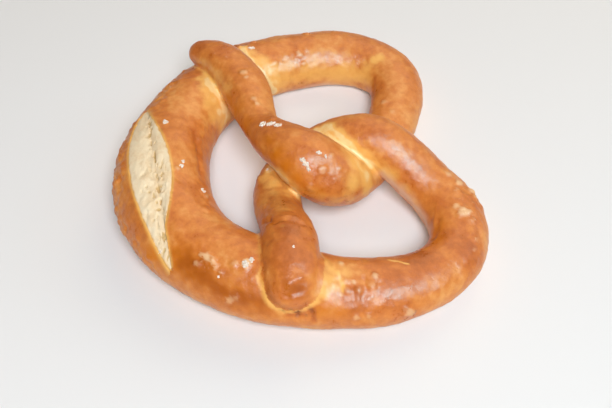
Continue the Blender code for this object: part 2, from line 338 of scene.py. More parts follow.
crustLook = {
    "voxel": 0.8,           # mm, size of the faces
    "relaxRounds": 4,
    "relaxShare": 0.6,      # how far a point goes to the middle of its neighbours in a round
    "lipSnap": 0.42,        # mm from the lip within which points are moved onto it
    "freeSkin": (0.2, 3.0),     # mm over the tray: nothing moves on the flat underside
    "lumps": 0.34,          # mm, broad unevenness of a hand-rolled rope
    "lumpSize": 15.0,
    "dimples": 0.15,        # mm, small unevenness of the skin
    "dimpleSize": 2.6,
    "goldReach": 3.2,       # mm from a crease within which the lower dough stayed golden
    "goldWaver": (0.35, 9.0),   # how unevenly, and over how many mm
    "goldPatches": (0.6, 0.4, 12.0),    # strength, how patchy it is, mm from patch to patch
    "lipGold": 0.9,         # mm of golden rim round the slash
    "footHeight": 3.6,      # mm up from the tray over which the flank stays pale, partly dough that did not brown, partly a painted reflection of the pale floor
    "footWaver": (0.8, 6.0),    # mm up and down, and from wave to wave
    "lineWaver": (0.5, 3.5),    # share of a line's width by which it wavers, mm from wave to wave
    "foldWaver": (0.4, 3.0),
    "ridgeWaver": (0.3, 2.5),
    "foldShade": 1.3,       # how much wider than the fold its dark is
    "wrinkleShade": 0.5,
    "wrinkleCore": 0.4,     # share of a wrinkled spot within which it is full
    "wrinkleStretch": (0.1, 0.25),  # under 1 the wrinkles are longer aside and upward
    "wrinkleSharp": 2.2,
    "pitSize": 1.7,         # mm
    "pitWall": (0.1, 0.45),
    "flakeSize": 3.0,
    "flakeLift": 0.25,      # how far flakes stand out rather than in
    "lowerBy": 4.0,         # mm under another strand from which a strand counts as the lower one
    "upperBaked": (3.0, 8.0),   # mm from a crease over which the upper strand has no gold
    "bakedSlope": (0.1, 0.95),  # from the flank, which is baked less, to the top
    "bubble": {
        "waver": 0.5,       # share of its radius by which a blister's edge wavers
        "steep": 0.45,      # share of the radius from which it falls off
        "dents": 0.45,
        "peelCore": 0.35,
    },
    # blisters: place, radius, height, how far their skin has peeled pale
    "blisters": [
        ((-34.9, -11.4, 32.3), 2.2, 0.6, 0.55), ((-31.8, -10.7, 32.1), 1.5, 0.5, 0.6),
        ((-19.8, -9.6, 30.9), 2.2, 0.6, 0.55), ((-17, -8.8, 30.6), 1.6, 0.55, 0.65),
        ((-46.2, -16.7, 32.7), 1.0, 0.3, 0.5), ((-50.6, -13.9, 32.5), 0.9, 0.3, 0.5),
        ((-49.9, -20.8, 32), 0.9, 0.3, 0.4), ((-29.4, -14.8, 31.1), 1.3, 0.3, 0.2),
        ((-58.4, 16.5, 19), 2.3, 0.65, 0.55), ((-55.3, 18, 16.2), 1.7, 0.5, 0.5),
        ((-54.9, 4.7, 18.7), 2.2, 0.45, 0.35), ((-58.5, 10.3, 20), 1.8, 0.4, 0.3),
        ((-61, 20, 19.8), 1.5, 0.35, 0.3), ((-67.9, 11.2, 21.4), 2.6, 0.5, 0.3),
        ((-71.9, 21.9, 19.5), 1.6, 0.55, 0.2), ((-70, 34.8, 19.5), 1.9, 0.45, 0.3),
        ((-66, -9.5, 22), 1.8, 0.7, 0.2), ((-68.5, -2, 20.5), 1.5, 0.6, 0.3),
        ((-24.5, 45.9, 15.6), 2.0, 0.4, 0.5), ((-17.5, 47.5, 15.7), 1.8, 0.4, 0.4),
        ((-5, 42, 20), 1.5, 0.3, 0.3), ((19.1, 12.9, 32.5), 1.5, 0.45, 0.45),
        ((24.2, 8.3, 30.5), 2.3, 0.55, 0.4), ((26.6, 3.3, 25), 1.9, 0.5, 0.3),
        ((23.2, 15.4, 29.1), 1.6, 0.4, 0.3), ((12.7, -8, 32), 1.4, 0.25, 0.2),
        ((51, -38.5, 23.5), 2.5, 0.65, 0.75), ((53.3, -36.7, 23.1), 1.6, 0.6, 0.6),
        ((49.3, -40.4, 23.6), 1.6, 0.5, 0.6), ((55.5, -36.4, 22.3), 1.4, 0.45, 0.5),
        ((51.5, -42.5, 21.8), 1.7, 0.5, 0.5), ((55.9, -29.4, 23.8), 2.1, 0.5, 0.45),
        ((57.2, -34.9, 21.9), 1.2, 0.35, 0.5), ((56.8, -25.5, 24), 2.7, 0.45, 0.8),
        ((64.9, -33, 15.2), 2.3, 0.45, 0.5), ((65.4, -30.9, 16.5), 1.5, 0.4, 0.4),
        ((16.9, -45.8, 27.7), 2.6, 0.35, 0.12),
        ((35.9, -47.4, 25.7), 2.2, 0.3, 0.12), ((29, -36, 23.8), 2.4, 0.3, 0.12),
        ((43.6, -35.6, 24.6), 2.4, 0.3, 0.12), ((-23.8, -25.8, 8.2), 2.5, 0.3, 0.2),
        ((-11.5, -33, 20.8), 1.8, 0.4, 0.2), ((9.5, -43.6, 27.3), 1.6, 0.5, 0.5),
        ((20.7, -34.9, 21.8), 1.7, 0.5, 0.5), ((19, -33.6, 20.4), 1.3, 0.4, 0.4),
        ((25, 57.6, 17.5), 2.0, 0.6, 0.6), ((29.1, 60.5, 16), 2.4, 0.7, 0.75),
        ((32.6, 63.9, 14.4), 2.3, 0.75, 0.7), ((35.6, 64.6, 14), 2.0, 0.6, 0.5),
        ((32.4, 58.6, 15.9), 1.5, 0.45, 0.4), ((39, 62.5, 14.5), 1.6, 0.45, 0.3),
        ((43.6, 58.2, 15.6), 3.4, 0.7, 0.7), ((40.4, 56.5, 15.3), 2.2, 0.55, 0.6),
        ((46.5, 60, 14.6), 1.6, 0.4, 0.4), ((55.6, 58.9, 14.7), 1.8, 0.35, 0.35),
        ((59.9, 56.7, 14.5), 1.6, 0.35, 0.35), ((62, 6.9, 20.9), 1.8, 0.6, 0.65),
        ((72.1, 6.7, 19.5), 1.9, 0.55, 0.35), ((68.7, 7.1, 20.7), 1.4, 0.4, 0.35),
        ((72.7, 11.1, 19.1), 2.1, 0.6, 0.35), ((69.8, 9.6, 20.2), 1.5, 0.45, 0.6),
        ((71.6, 15.7, 19.3), 2.0, 0.6, 0.4), ((68.4, 17.5, 19.9), 2.1, 0.65, 0.6),
        ((78.8, 8.5, 12.4), 1.9, 0.55, 0.5), ((79.2, 13, 12.3), 1.4, 0.45, 0.45),
        ((79, 27.9, 10.2), 2.9, 0.6, 0.6), ((78.7, 25.6, 12.2), 1.5, 0.4, 0.3),
        ((7, -13.2, 13.7), 1.9, 0.45, 0.4), ((59.4, -10.6, 31.7), 1.2, 0.25, 0.2),
    ],
    # golden spots, partly dough that stayed golden, partly painted light: on the lobe's right end, which
    # the lamps leave in shade, and a painted highlight at the far end of the left loop; place, radius,
    # strength
    "goldSpots": [
        ((-38.5, -27.2, 23.1), 7, 0.7), ((-34.4, -24.6, 20.7), 8, 0.85),
        ((-30.9, -22.9, 16.9), 8, 0.95), ((-26.8, -25.9, 17.7), 7, 0.65),
        ((-29, -22.2, 11.8), 7, 0.9), ((-32, -27, 21.5), 6, 0.65),
        ((-60.7, -3.8, 23.2), 7, 0.65), ((-55.1, -0.5, 20.5), 8, 0.85),
        ((-52.3, 2.4, 16.8), 8, 0.95), ((-50.9, 4.7, 11.9), 7, 0.9),
        ((-54.6, 11.7, 16.7), 8, 0.55), ((-55, 22, 14), 10, 0.45), ((-50.1, 48.1, 17.6), 5, 0.8),
        ((-50.3, 50.7, 18.2), 5, 0.75), ((-48, 44.2, 14.3), 5, 0.65),
        ((9.2, -10.4, 16.4), 6, 0.7), ((14.5, -8, 17.7), 7, 0.85), ((21, -9, 18.8), 6, 0.55),
        ((5, -13, 13), 5, 0.45), ((20.5, 27, 20), 10, 1.0), ((25, 19.5, 22), 9, 0.8),
        ((29, 12, 18), 7, 0.45), ((27.5, 19, 15.5), 6, 0.55), ((28, 9, 15), 6, 0.4),
        ((16.5, 32.5, 21), 7, 0.8), ((20.5, 36.8, 18.5), 7, 0.65), ((25.5, 41.2, 14.5), 7, 0.5),
        ((31, 44, 10.5), 7, 0.4),
        ((60, 0.5, 21.7), 6, 0.55), ((64, 2.5, 21.7), 7, 0.6), ((67.8, 0.2, 21.4), 8, 0.72),
        ((70.7, -2.5, 20.2), 6, 0.72), ((73, -5.1, 18.3), 4, 0.7), ((69.8, 1.9, 20.7), 6, 0.6),
        ((65, 7, 21), 5, 0.35), ((47.5, -10.8, 30), 2.4, 0.4), ((53, -21.5, 23.5), 4, 0.35),
        ((24, -14.5, 18), 9, 0.42), ((20, 51, 19), 6, 0.25), ((59.6, 27.4, 16.9), 4, 0.35),
        ((56.6, 39.5, 16), 4, 0.35),
    ],
    # golden lines: their points, half width in mm, strength
    "goldLines": [
        ([(-52.2, -27.6, 27.2), (-48.6, -25.6, 26.4), (-43.9, -23.8, 25.6), (-39.4, -22.4, 23.7),
          (-37, -21, 19.5), (-34, -20, 15.8), (-33.2, -19.1, 10.9)], 2.2, 1.0),
        ([(-63.8, -7.2, 23.6), (-57.9, -5.6, 22.9), (-54.4, -3.6, 21), (-52.2, -1.5, 18.6),
          (-50.5, 0.3, 15.2), (-50, 2.3, 10.2), (-51.4, 4.2, 5.9)], 2.4, 1.1),
        ([(-52.5, 9, 12), (-53.5, 19, 11), (-53.2, 29.3, 10), (-50.5, 37.7, 10.5),
          (-47.3, 42.8, 12)], 7.5, 0.6),
        ([(59.2, -21.4, 26), (62.6, -22.8, 22.6), (66.3, -22.2, 20.4), (69.5, -20.3, 19.2),
          (72.6, -16.8, 19.2), (74.4, -12.6, 18.2), (74.2, -8, 18), (72.6, -4.6, 19)], 0.9, 0.6),
        ([(65.2, 4.7, 21.4), (70.3, 5.7, 20.3), (73.3, 4.6, 18.8)], 0.8, 0.8),
        ([(61.3, 24.2, 18), (62.8, 27.8, 18.3), (64.5, 30.6, 18.6)], 0.5, 1.2),
    ],
    # the palest dough, along the twist and where strands meet, and painted light where a flank sits in
    # shade (the lobe's right end and lower flank, the left arm's flank and the belly under it), as
    # goldLines
    "creamLines": [
        ([(-3, 12, 26), (1.7, 15, 26.9), (5.5, 17.3, 26.6), (9.4, 20.4, 26), (12.3, 24, 23.5),
          (14.5, 28.5, 21)], 2.4, 1.15),
        ([(-2, 15.5, 27.5), (2.5, 19.5, 27.5), (7, 22.5, 26.5)], 3.0, 1.1),
        ([(7, 20, 27), (12, 25.5, 24.5), (15.5, 30.5, 20), (19, 34.6, 16.8)], 4.2, 0.9),
        ([(16, 22.5, 26), (20.5, 25, 22), (22, 27, 16)], 5.0, 0.85),
        ([(25.5, 22, 22), (27.5, 18, 20), (28.5, 14, 17)], 3.5, 0.55),
        ([(5.8, -8.2, 17), (10, -8.5, 20), (14.7, -7.7, 22.9), (17.7, -6.3, 23.4), (20.2, -4.5, 22.9),
          (21.9, -2.6, 20.9), (20.5, -0.5, 15)], 3.5, 1.3),
        ([(25, 2, 23), (27, 7, 21)], 4.0, 0.45),
        ([(20, -9.5, 18.5), (31.4, -8.9, 22.9), (36, -8.5, 25)], 5.0, 0.38),
        ([(-52.9, -27.9, 26.6), (-49.6, -25.3, 28.8), (-44.3, -23.1, 28.4), (-37.5, -20.8, 28.2),
          (-30.2, -18.5, 28.5)], 3.0, 0.42),
        ([(-45, -26.5, 24), (-39.5, -24.3, 22.3), (-35.5, -22, 19), (-32.5, -20.5, 12)], 3.4, 1.05),
        ([(-56, -4, 22), (-52.5, -1.5, 18.6), (-51, 2, 12)], 2.8, 0.95),
    ],
    # deep amber lines along the belly's lower flank, partly dough baked less, partly painted shade, as
    # goldLines
    "amberLines": [
        ([(38, -60, 16.5), (47.5, -51.5, 17.8), (52, -46.8, 18), (57, -41.5, 17.5),
          (61.5, -36, 17.2), (65.6, -29.5, 16.9), (69, -23, 16.3)], 3.4, 1.0),
        ([(47, -47, 21), (54.5, -41.7, 20.3), (58.8, -38.1, 19), (62.4, -34.2, 18),
          (65.6, -29.5, 17.5), (68.8, -22.4, 17.5)], 5.2, 0.95),
    ],
    # deep amber spots, partly dough baked less, partly painted shade on flanks turned from the light
    # with no sheen on them: place, radius, strength
    "amberSpots": [
        ((-26.8, -19.2, 26.2), 6, 0.8), ((-19.5, -17.4, 26.8), 6, 0.9), ((-9, -15.5, 27.5), 6, 0.8),
        ((6.8, -8.7, 32.9), 5, 0.8), ((13.8, -7.3, 31.4), 6, 0.9), ((19.1, -4.6, 29.7), 6, 0.9),
        ((23, -1.6, 27.2), 6, 0.9), ((25.9, 1.6, 23.1), 6, 0.8), ((28, 6.1, 22.1), 5, 0.7),
        ((53.8, -43.4, 19.8), 6, 1.0), ((57.5, -38.6, 19.8), 6, 0.9), ((60.9, -35, 19.1), 6, 0.7),
        ((67.1, -26.3, 17.5), 6, 0.8), ((64.3, -31, 18), 6, 0.7),
        ((72, -12.5, 24.2), 3.5, 1.0), ((72.7, -9.5, 24.6), 4.5, 0.9),
        ((40.2, 49, 8), 5, 0.8), ((53.3, 44.7, 15.4), 6, 0.8), ((53.9, 40.4, 14.4), 6, 0.7),
        ((47, 48, 13.5), 6, 0.7), ((31.8, -15.8, 19.5), 5, 0.8), ((43, -14, 27.3), 3, 0.8),
        ((76, -3, 15), 6, 0.7), ((76.5, 3, 15), 6, 0.6),
        ((0, -46, 28), 9, 0.35), ((-5, -36, 22), 6, 0.5), ((48, -43, 24), 7, 0.45),
    ],
    # spots painted darker, partly darker baking, partly painted shade: the corner where the belly meets
    # the left arm and the belly's lower front flank; place, radius, strength
    "darkSpots": [
        ((-60, -26, 30), 9, 0.75), ((-62, -29, 27), 5, 0.6), ((-14, -66, 14), 16, 0.25),
        ((62, -40, 12), 12, 0.35), ((45, -50, 12), 12, 0.35), ((69, -12.5, 28), 6, 0.4),
        ((8, 33, 31), 11, 0.45), ((4, 26, 32), 7, 0.4), ((37, -12, 25), 8, 0.3),
        ((60, -11, 30.5), 10, 0.8), ((50.5, -9.5, 30.3), 7, 0.8), ((64, -6, 28.5), 7, 0.8),
        ((0, -7, 35), 12, 0.35), ((-20, -68, 10), 12, 0.3),
        ((69, 20, 19), 14, 1.0), ((74, 9, 17), 9, 1.0), ((66, 36, 18), 14, 1.0), ((60, 54, 14), 13, 0.8),
        ((45, 61, 14), 13, 0.7), ((72.7, -10, 24.6), 7, 1.0),
        ((3, -69, 13), 12, 0.55), ((14, -69, 11), 10, 0.5),
        ((-32.3, -18.6, 7), 4, 1.0), ((74, -9, 15), 5, 0.4), ((72, -15, 16), 5, 0.4),
        ((-8, 45, 20), 8, 0.35),
    ],
    # painted shade along the belly's lower flank, as goldLines
    "shadeLines": [
        ([(49, -45.5, 20), (54.5, -41.7, 19.6), (58.8, -38.1, 18.4), (62.4, -34.2, 17.4),
          (65.6, -29.5, 17), (68.8, -22.4, 17)], 5.0, 0.85),
    ],
    # folds: both ends, width, depth, and painted shade along it
    "folds": [
        ((-14, -34.8, 23), (-5, -34.5, 21.7), 1.3, 0.35, 0.5),
        ((-5, -34.5, 21.7), (5.8, -35.2, 21.4), 1.3, 0.45, 0.6),
        ((5.8, -35.2, 21.4), (14.3, -35.2, 21.3), 1.2, 0.3, 0.4),
        ((-42, 45.8, 13.3), (-35, 43.7, 11), 1.2, 0.3, 0.4),
        ((51.5, -17.5, 28), (53.5, -12, 31.2), 1.5, 0.3, 0.2),
        ((36.7, -16.6, 21.2), (39.6, -14.8, 25), 1.2, 0.9, 0.7),
        ((39.6, -14.8, 25), (43.5, -12.6, 28.2), 1.2, 0.8, 0.5),
        ((43.5, -12.6, 28.2), (46.5, -4.1, 28.5), 1.3, 0.55, 0.2),
        ((72.6, -14.5, 23), (72.2, -10, 24), 1.7, 0.8, 0.5),
        ((68.4, 4.9, 21), (74.6, 4, 17.8), 1.0, 0.35, 0.2),
        ((70, 9.0, 20.2), (75.9, 8.2, 17), 1.1, 0.45, 0.25),
        ((68.4, 13.4, 20.1), (74, 14.2, 17.9), 1.0, 0.5, 0.25),
        ((71, 18.5, 19.2), (76.4, 16.5, 16.5), 1.0, 0.35, 0.2),
        ((51.5, 45.5, 13), (43, 51, 12.5), 0.9, 0.3, 0.4),
        ((75.1, -5.9, 15.5), (76.6, -5.8, 11.2), 0.7, 0.6, 1.0),
        ((75, -9.4, 13.2), (73.6, -14.6, 13.2), 0.7, 0.5, 0.9),
    ],
    # ridges: both ends, width, height
    "ridges": [
        ((42.4, -9.1, 28.3), (43.3, -4.9, 27.8), 1.1, 0.5),
        ((70.1, -13.5, 26.2), (69.5, -9.2, 27), 1.1, 0.45),
        ((69.5, -9.2, 27), (67.5, -4.6, 26.1), 1.1, 0.4),
        ((62.5, 6, 21), (66, 4.9, 21.4), 0.8, 0.4),
        ((34, 55.5, 10), (44, 52, 10), 0.8, 0.35),
        ((30, 53, 8), (42, 50, 7), 0.8, 0.35),
    ],
    # wrinkles across the strand: place, radius, height, how far apart
    "wrinkles": [
        ((71, 11, 19.5), 9, 0.3, 3.6), ((75, 12, 16), 7, 0.4, 3.6), ((13.5, 33, 28), 9, 0.07, 2.1),
        ((24, 16.5, 28), 6, 0.07, 2.0), ((-56, 9, 21), 8, 0.08, 2.4),
    ],
    # lines where the flank over the foot stayed pale, as goldLines
    "footLines": [
        ([(18, 34, 15.8), (23.3, 38.8, 12.9), (28.2, 42.5, 9.9), (33.8, 45, 7.9), (42, 46, 7),
          (50, 44, 7.5)], 2.3, 1.1),
    ],
    # where the flank stayed pale further up: place, radius, mm more
    "paleFlanks": [
        ((24, 39.6, 10), 8, 5.0), ((31, 44, 8), 9, 5.5), ((40, 46, 7), 9, 4.5), ((50, 43, 9), 7, 3.0),
        ((-52, 25, 6), 16, 2.5), ((20, 34, 11), 6, 4.0),
    ],
    # torn pits: place, radius, depth
    "pits": [
        ((73.2, -14.6, 14.9), 2.4, 0.8), ((74.3, -11.5, 14.3), 2.6, 0.8), ((75.4, -7, 14), 2.4, 0.7),
        ((79, 29.3, 9.5), 1.5, 0.6),
    ],
    # rough flaky flank: place, radius, height
    "flakes": [
        ((2.8, -67.5, 19.7), 9, 1.1), ((-6, -66, 20), 8, 0.95), ((12, -68, 16), 9, 1.1),
        ((-5.9, -4.9, 31.7), 2.6, 1.3), ((-10, -5.3, 30.2), 3.0, 0.6),
        ((-69.8, 23.3, 20.3), 2.4, 0.9), ((-67.7, 34.7, 20.1), 2.6, 0.8), ((-66, -7, 21.5), 4, 0.9),
        ((-14, -63, 21), 7, 0.7), ((22, -66.5, 14), 8, 0.8), ((32, -63, 14), 7, 0.6),
        ((-33.6, -48.3, 23.4), 6, 0.8), ((-41.5, -44.3, 22), 7, 0.8), ((-47, -40.1, 21.6), 7, 0.9),
        ((-54.5, -36.9, 19.3), 7, 0.8), ((-24, -58, 20), 7, 0.7), ((40, -58, 13), 7, 0.45),
        ((-67, -8, 20), 5, 0.6), ((30, 64, 12), 6, 0.6), ((37, 64, 12), 6, 0.6),
        ((36, 60, 15), 7, 0.5), ((45, 60, 15), 8, 0.6), ((53, 60, 14), 6, 0.45), ((63, 14, 20), 7, 0.35),
    ],
}


def spotField(points, spots, waver, core):
    # the strongest of a set of round spots with wavering edges, full within their core: each
    # has its place, radius and strength
    best = np.zeros(len(points))
    places = toSkin(np.array([spot[0] for spot in spots], float))
    for place, (_, radius, strength) in zip(places, spots):
        near = np.abs(points - place).max(axis=1) < radius * 1.6
        away = np.linalg.norm(points[near] - place, axis=1) / radius
        away = away * (1 + waver * tornNoise(points[near], radius * 0.8))
        best[near] = np.maximum(best[near], strength * (1 - rampBetween(core, 1.0, away)))
    return best


def awayFromLine(points, stops):
    # distance from a bent line whose stops are first laid on the skin
    stops = toSkin(np.array(stops, float))
    away = np.full(len(points), 99.0)
    for a, b in zip(stops[:-1], stops[1:]):
        share = np.clip((points - a) @ (b - a) / ((b - a) @ (b - a)), 0, 1)
        away = np.minimum(away, np.linalg.norm(points - a - share[:, None] * (b - a), axis=1))
    return away


def waveringLine(points, stops, width, waver):
    # distance from a line whose edge wavers, never less than 0
    share, size = waver
    away = awayFromLine(points, stops) + share * width * skinNoise(points, size)
    return np.maximum(away, 0)


def lineField(points, lines):
    # the strongest of a set of soft lines: their stops, half width in mm, strength
    best = np.zeros(len(points))
    for stops, width, strength in lines:
        away = waveringLine(points, stops, width, crustLook["lineWaver"])
        best = np.maximum(best, strength * fading(away, width))
    return best


def marks(points, spots, lines, waver):
    # the strongest of soft spots and lines
    return np.maximum(spotField(points, spots, waver, core=0.0), lineField(points, lines))


def buildCrust():
    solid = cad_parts["pretzel"]
    draft = bpy.data.objects.new("draft", solid.data.copy())
    bpy.context.scene.collection.objects.link(draft)
    weld = draft.modifiers.new("weld", "WELD")
    weld.merge_threshold = 0.000001
    remesh = draft.modifiers.new("remesh", "REMESH")
    remesh.mode = "VOXEL"
    remesh.voxel_size = crustLook["voxel"] * mm
    graph = bpy.context.evaluated_depsgraph_get()
    mesh = bpy.data.meshes.new_from_object(draft.evaluated_get(graph))
    bpy.data.objects.remove(draft)
    mesh.name = "crust"
    points = pointsOf(mesh)
    ends = np.empty(len(mesh.edges) * 2, np.int32)
    mesh.edges.foreach_get("vertices", ends)
    ends = ends.reshape(-1, 2)
    both = np.concatenate([ends, ends[:, ::-1]])
    links = np.bincount(both[:, 0], minlength=len(points))

    def relaxed(spots):
        sums = [np.bincount(both[:, 0], spots[both[:, 1], k], len(spots)) for k in range(3)]
        return np.column_stack(sums) / links[:, None]

    points = toSkin(points)
    share = crustLook["relaxShare"]
    for _ in range(crustLook["relaxRounds"]):
        points = points * (1 - share) + relaxed(points) * share
        points = toSkin(points, 1)
    # the lips of the slash run along the edges of faces
    along, aside = slashPlace(points)
    high = (points[:, 2] > slashShape["above"]) & (np.abs(aside) < slashShape["widest"])
    high &= (along > 0.005) & (along < 0.995)
    for side in (-1, 1):
        lip = side * slashHalf(along, side < 0)
        near = high & (np.abs(aside - lip) < crustLook["lipSnap"])
        points[near, 1] += (lip - aside)[near]
    points = toSkin(points, 2)
    return mesh, points


def blister(points):
    # height of the blisters' skin, and how far it has peeled pale
    height, peel = np.zeros(len(points)), np.zeros(len(points))
    bubble = crustLook["bubble"]
    places = toSkin(np.array([spot[0] for spot in crustLook["blisters"]], float))
    for place, (_, radius, rise, peeled) in zip(places, crustLook["blisters"]):
        near = np.abs(points - place).max(axis=1) < radius * 2
        away = np.linalg.norm(points[near] - place, axis=1) / radius
        away = away * (1 + bubble["waver"] * tornNoise(points[near], radius * 0.6))
        # a thin bubble: steep at its edge, dented on top
        dome = 1 - rampBetween(bubble["steep"], 1.0, away)
        dome *= 1 + bubble["dents"] * skinNoise(points[near], radius * 0.5)
        height[near] += rise * dome
        peel[near] = np.maximum(peel[near], peeled * (1 - rampBetween(bubble["peelCore"], 1.0, away)))
    return height, peel


def shapeCrust(mesh, points):
    look = crustLook
    _, way, gaps, levels, places = doughGap(points)
    normals = way * roundness
    normals /= np.linalg.norm(normals, axis=1)[:, None]
    upward = normals[:, 2]
    crease = np.clip(gaps[1], 0, 50)
    offset = look["lumps"] * layered(lumpNoise, points, look["lumpSize"])
    offset += look["dimples"] * layered(skinNoise, points, look["dimpleSize"])
    height, peel = blister(points)
    offset += height
    # the dark mask: darker baking in spots, and painted shade in a corner, along the belly's lower
    # flank, in the folds and between the wrinkles
    dark = marks(points, look["darkSpots"], look["shadeLines"], waver=0.3)
    for first, last, width, depth, paintedShade in look["folds"]:
        away = waveringLine(points, [first, last], width, look["foldWaver"])
        offset -= depth * fading(away, width)
        # painted shade along the fold
        dark = np.maximum(dark, paintedShade * fading(away, look["foldShade"] * width))
    for first, last, width, height in look["ridges"]:
        away = waveringLine(points, [first, last], width, look["ridgeWaver"])
        offset += height * fading(away, width)
    run = places * ropeShape["step"]
    for place, radius, height, pitch in look["wrinkles"]:
        away = np.linalg.norm(points - place, axis=1) / radius
        near = 1 - rampBetween(look["wrinkleCore"], 1.0, away)
        # the noise is drawn out across the strand, so it runs round it
        aside, upright = look["wrinkleStretch"]
        fold = np.column_stack([run, points[:, 2] * upright, points[:, 1] * aside])
        ridge = 1 - np.abs(layered(skinNoise, fold, pitch)) * look["wrinkleSharp"]
        offset += height * ridge * near
        dark = np.maximum(dark, look["wrinkleShade"] * height * (1 - ridge) * near)
    # torn pits sink into the crust, and their mask paints shade inside them
    pit = spotField(points, look["pits"], waver=0.5, core=0.2)
    holes = rampBetween(*look["pitWall"], tornNoise(points * (1, 1, 1.6), look["pitSize"])) * pit
    offset -= holes
    flake = spotField(points, look["flakes"], waver=0.3, core=0.3)
    offset += flake * (layered(tornNoise, points, look["flakeSize"]) + look["flakeLift"])
    # of two strands that touch only the lower one stayed golden along the crease
    lower = rampBetween(0.0, look["lowerBy"], levels[1] - levels[0])
    waver, size = look["goldWaver"]
    seam = 1 - rampBetween(0.2, look["goldReach"] * (1 + waver * lumpNoise(points, size)), crease)
    strength, patchy, size = look["goldPatches"]
    gold = seam * (strength + patchy * lumpNoise(points + 40, size))
    gold = np.maximum(gold, marks(points, look["goldSpots"], look["goldLines"], waver=0.35))
    gold *= 1 - (1 - lower) * (1 - rampBetween(*look["upperBaked"], crease))
    # the palest dough along the twist and creases, with painted light on flanks that the lamps leave in
    # shade
    gold = np.maximum(gold, lineField(points, look["creamLines"]))
    # deep amber, partly dough baked less, partly painted shade on flanks turned from the light
    amber = marks(points, look["amberSpots"], look["amberLines"], waver=0.35)
    free = rampBetween(*look["freeSkin"], points[:, 2])
    points = points + normals * (offset * free)[:, None]
    # the crust drops away under the crumb of the slash
    along, aside = slashPlace(points)
    inside = slashHalf(along, aside < 0) - np.abs(aside)
    on = (along > 0) & (along < 1) & (points[:, 2] > slashShape["above"])
    rim = np.where(on, np.exp(-np.maximum(-inside, 0) / look["lipGold"]), 0)
    drop = np.where(on, rampBetween(0.0, slashShape["lipWall"], inside), 0)
    points = points - normals * (slashShape["bedDepth"] * drop)[:, None]
    pale = look["footHeight"] + spotField(points, look["paleFlanks"], waver=0.2, core=0.2)
    waver, size = look["footWaver"]
    foot = 1 - rampBetween(0.35, 1.0, (points[:, 2] + waver * skinNoise(points, size)) / pale)
    foot = np.maximum(foot, lineField(points, look["footLines"]))
    movePoints(mesh, points)
    for name, values in (
        ("gold", gold), ("rim", rim), ("dark", dark), ("peel", peel), ("pitShade", holes * 1.1),
        ("flake", flake * 1.4), ("foot", foot), ("amber", amber),
        ("baked", rampBetween(*look["bakedSlope"], upward)),
    ):
        setFloats(mesh, name, np.clip(values, 0, 1))
    return points


crustMesh, crustPoints = buildCrust()
crustPoints = shapeCrust(crustMesh, crustPoints)
print("crust shaped:", len(crustMesh.polygons), "faces")


# the crumb that shows in the slash

crumbLook = {
    "rows": 330,            # faces along the slash and across it
    "columns": 92,
    "overlap": 1.12,        # the crumb runs on under the lips by this factor
    "lipDepth": 0.12,       # mm under the crust at the lips, and at the stroke
    "valleyDepth": 1.7,
    "valleyWidth": 1.6,     # mm on either side of the tear
    "hollow": (1.6, 0.5),   # how the valley rises to the lips, and to both ends
    "tuck": 9.0,            # how steeply it dips under the lips
    "thick": 2.0,           # mm
    "smoothShare": 0.15,    # how torn it is where the blade went in smoothly
    "tornFrom": (0.3, 0.6),     # share of the stroke over which that changes
    "mounds": 0.3,          # mm, soft lumps that the blade left
    "moundSize": (7.0, 3.6, 0.1),   # mm along the slash and across it, and how far it slants
    "strands": 0.16,        # mm, dough drawn out along the slash
    "strandSize": (4.5, 1.5, 0.25),
    "grain": 0.06,
    "grainSize": 0.9,
    "pores": 0.75,          # mm, torn openings, long along the slash
    "poreSize": (2.8, 1.15, 0.12),
    "poreEdge": (-0.05, 0.55),
    "gaping": (1.1, 0.7, 0.12),     # along the tear, in patches beside it, and held shut all over
    "tearWaver": 0.9,
    "toastReach": 0.7,      # mm from the lip over which it browned
    # the line along which it tore open: share of the stroke, mm beside it
    "tear": [
        (0, 0), (0.1, 0.1), (0.28, 0.3), (0.4, 0.4), (0.47, 1.1), (0.55, 1.5), (0.61, -0.8),
        (0.64, -2.2), (0.69, -1.3), (0.74, -0.3), (0.82, -0.6), (0.92, -1.2), (1, -0.4),
    ],
    # strands that bridge it: share of the stroke, that share per mm aside, half width, height in mm
    "bridges": [(0.575, 0.0055, 0.02, 0.55), (0.665, -0.008, 0.012, 0.3), (0.76, 0.01, 0.012, 0.3)],
}


